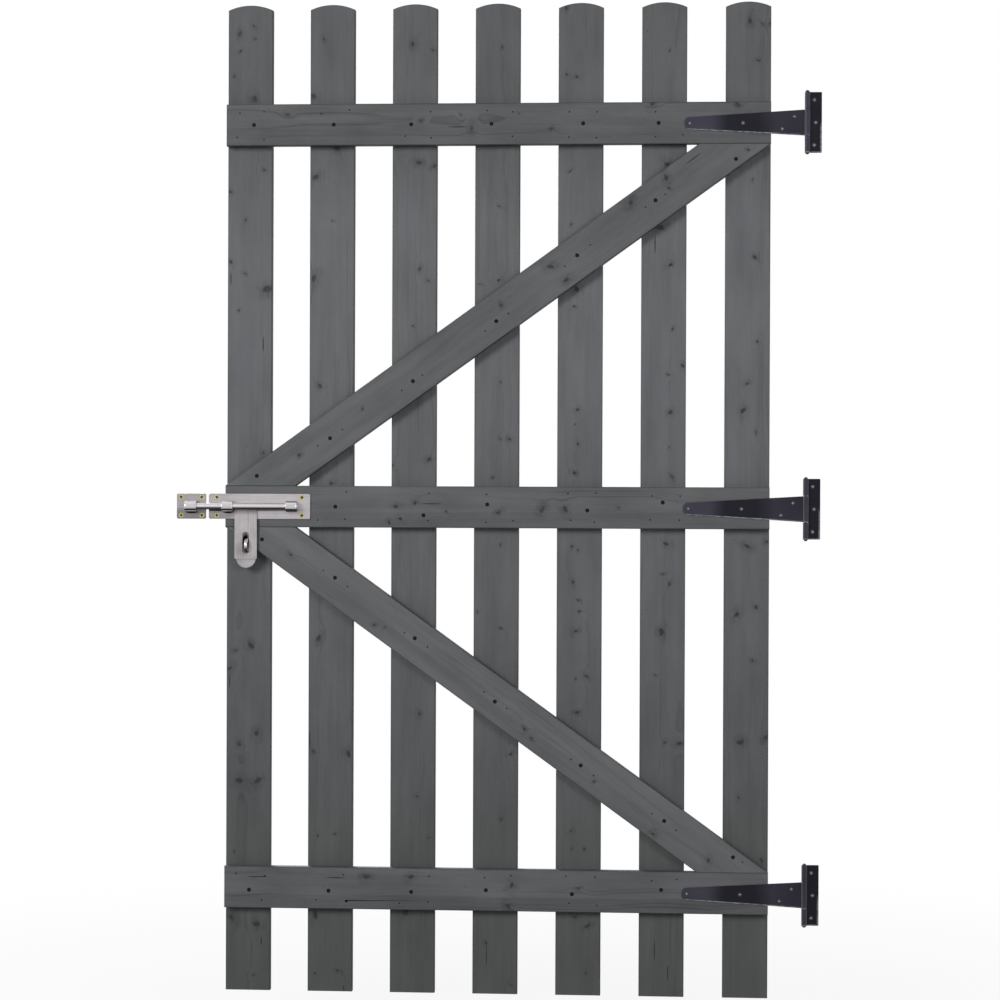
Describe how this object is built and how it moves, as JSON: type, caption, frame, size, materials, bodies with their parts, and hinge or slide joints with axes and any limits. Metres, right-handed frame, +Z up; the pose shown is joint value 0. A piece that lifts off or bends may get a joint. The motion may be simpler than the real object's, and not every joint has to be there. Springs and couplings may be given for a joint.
{
  "type": "garden gate",
  "caption": "Ledged and braced picket gate leaf with arched pale tops, T-hinges on the right and a sliding pad bolt whose slotted hasp locks over a staple.",
  "frame": {"origin": "on the hinge post's face, midway between the upper and lower screw holes of the middle hinge's flap", "axes": "+Z up along the pales, +X from the latch edge to the hinge edge, -Y out of the hinge post towards someone who faces the ledges"},
  "size_m": [1.1668, 0.0605, 1.7999],
  "materials": {
    "painted_wood": "dark grey paint over sawn softwood",
    "black_hinge": "black powder coat",
    "stainless": "satin stainless steel",
    "yellow_zinc": "yellow zinc plate",
    "zinc": "bright zinc plate",
    "dark_zinc": "painted over, deep in the recess"
  },
  "bodies": {
    "post_side": {"hinge_flap_bottom": "black_hinge", "hinge_flap_middle": "black_hinge", "hinge_flap_top": "black_hinge", "hinge_pin_bottom": "black_hinge", "hinge_pin_middle": "black_hinge", "hinge_pin_top": "black_hinge"},
    "leaf": {"pale_1": "painted_wood", "pale_2": "painted_wood", "pale_3": "painted_wood", "pale_4": "painted_wood", "pale_5": "painted_wood", "pale_6": "painted_wood", "pale_7": "painted_wood", "ledge_bottom": "painted_wood", "ledge_middle": "painted_wood", "ledge_top": "painted_wood", "brace_upper": "painted_wood", "brace_lower": "painted_wood", "ledge_screws": "dark_zinc", "brace_screws": "dark_zinc", "hinge_strap_bottom": "black_hinge", "hinge_strap_middle": "black_hinge", "hinge_strap_top": "black_hinge", "hinge_screws": "zinc", "bolt_back_plate": "stainless", "bolt_guide_left": "stainless", "bolt_guide_right": "stainless", "bolt_staple": "stainless", "bolt_screws": "yellow_zinc"},
    "bolt": {"bolt_rod": "stainless"},
    "hasp": {"bolt_hasp": "stainless"},
    "keep": {"keep_plate": "stainless", "keep_loop": "stainless", "keep_screws": "yellow_zinc"}
  },
  "joints": [
    {"name": "leaf_swing", "type": "hinge", "parent": "post_side", "child": "leaf", "pos_m": [-0.0125, -0.00505, 0], "axis": [0, 0, 1], "range_deg": [0, 170]},
    {"name": "bolt_draw", "type": "slide", "parent": "leaf", "child": "bolt", "axis": [1, 0, 0], "range_m": [0, 0.052]},
    {"name": "hasp_lift", "type": "hinge", "parent": "bolt", "child": "hasp", "pos_m": [-1.026, -0.0125, 0.0009], "axis": [-1, 0, 0], "range_deg": [0, 180]},
    {"name": "keep_off", "type": "slide", "parent": "leaf", "child": "keep", "axis": [-1, 0, 0], "range_m": [0, 0.06]}
  ],
  "couplings": [
    {"joint": "hasp_lift", "follows": "bolt_draw", "rad_per_m": 60.4}
  ]
}
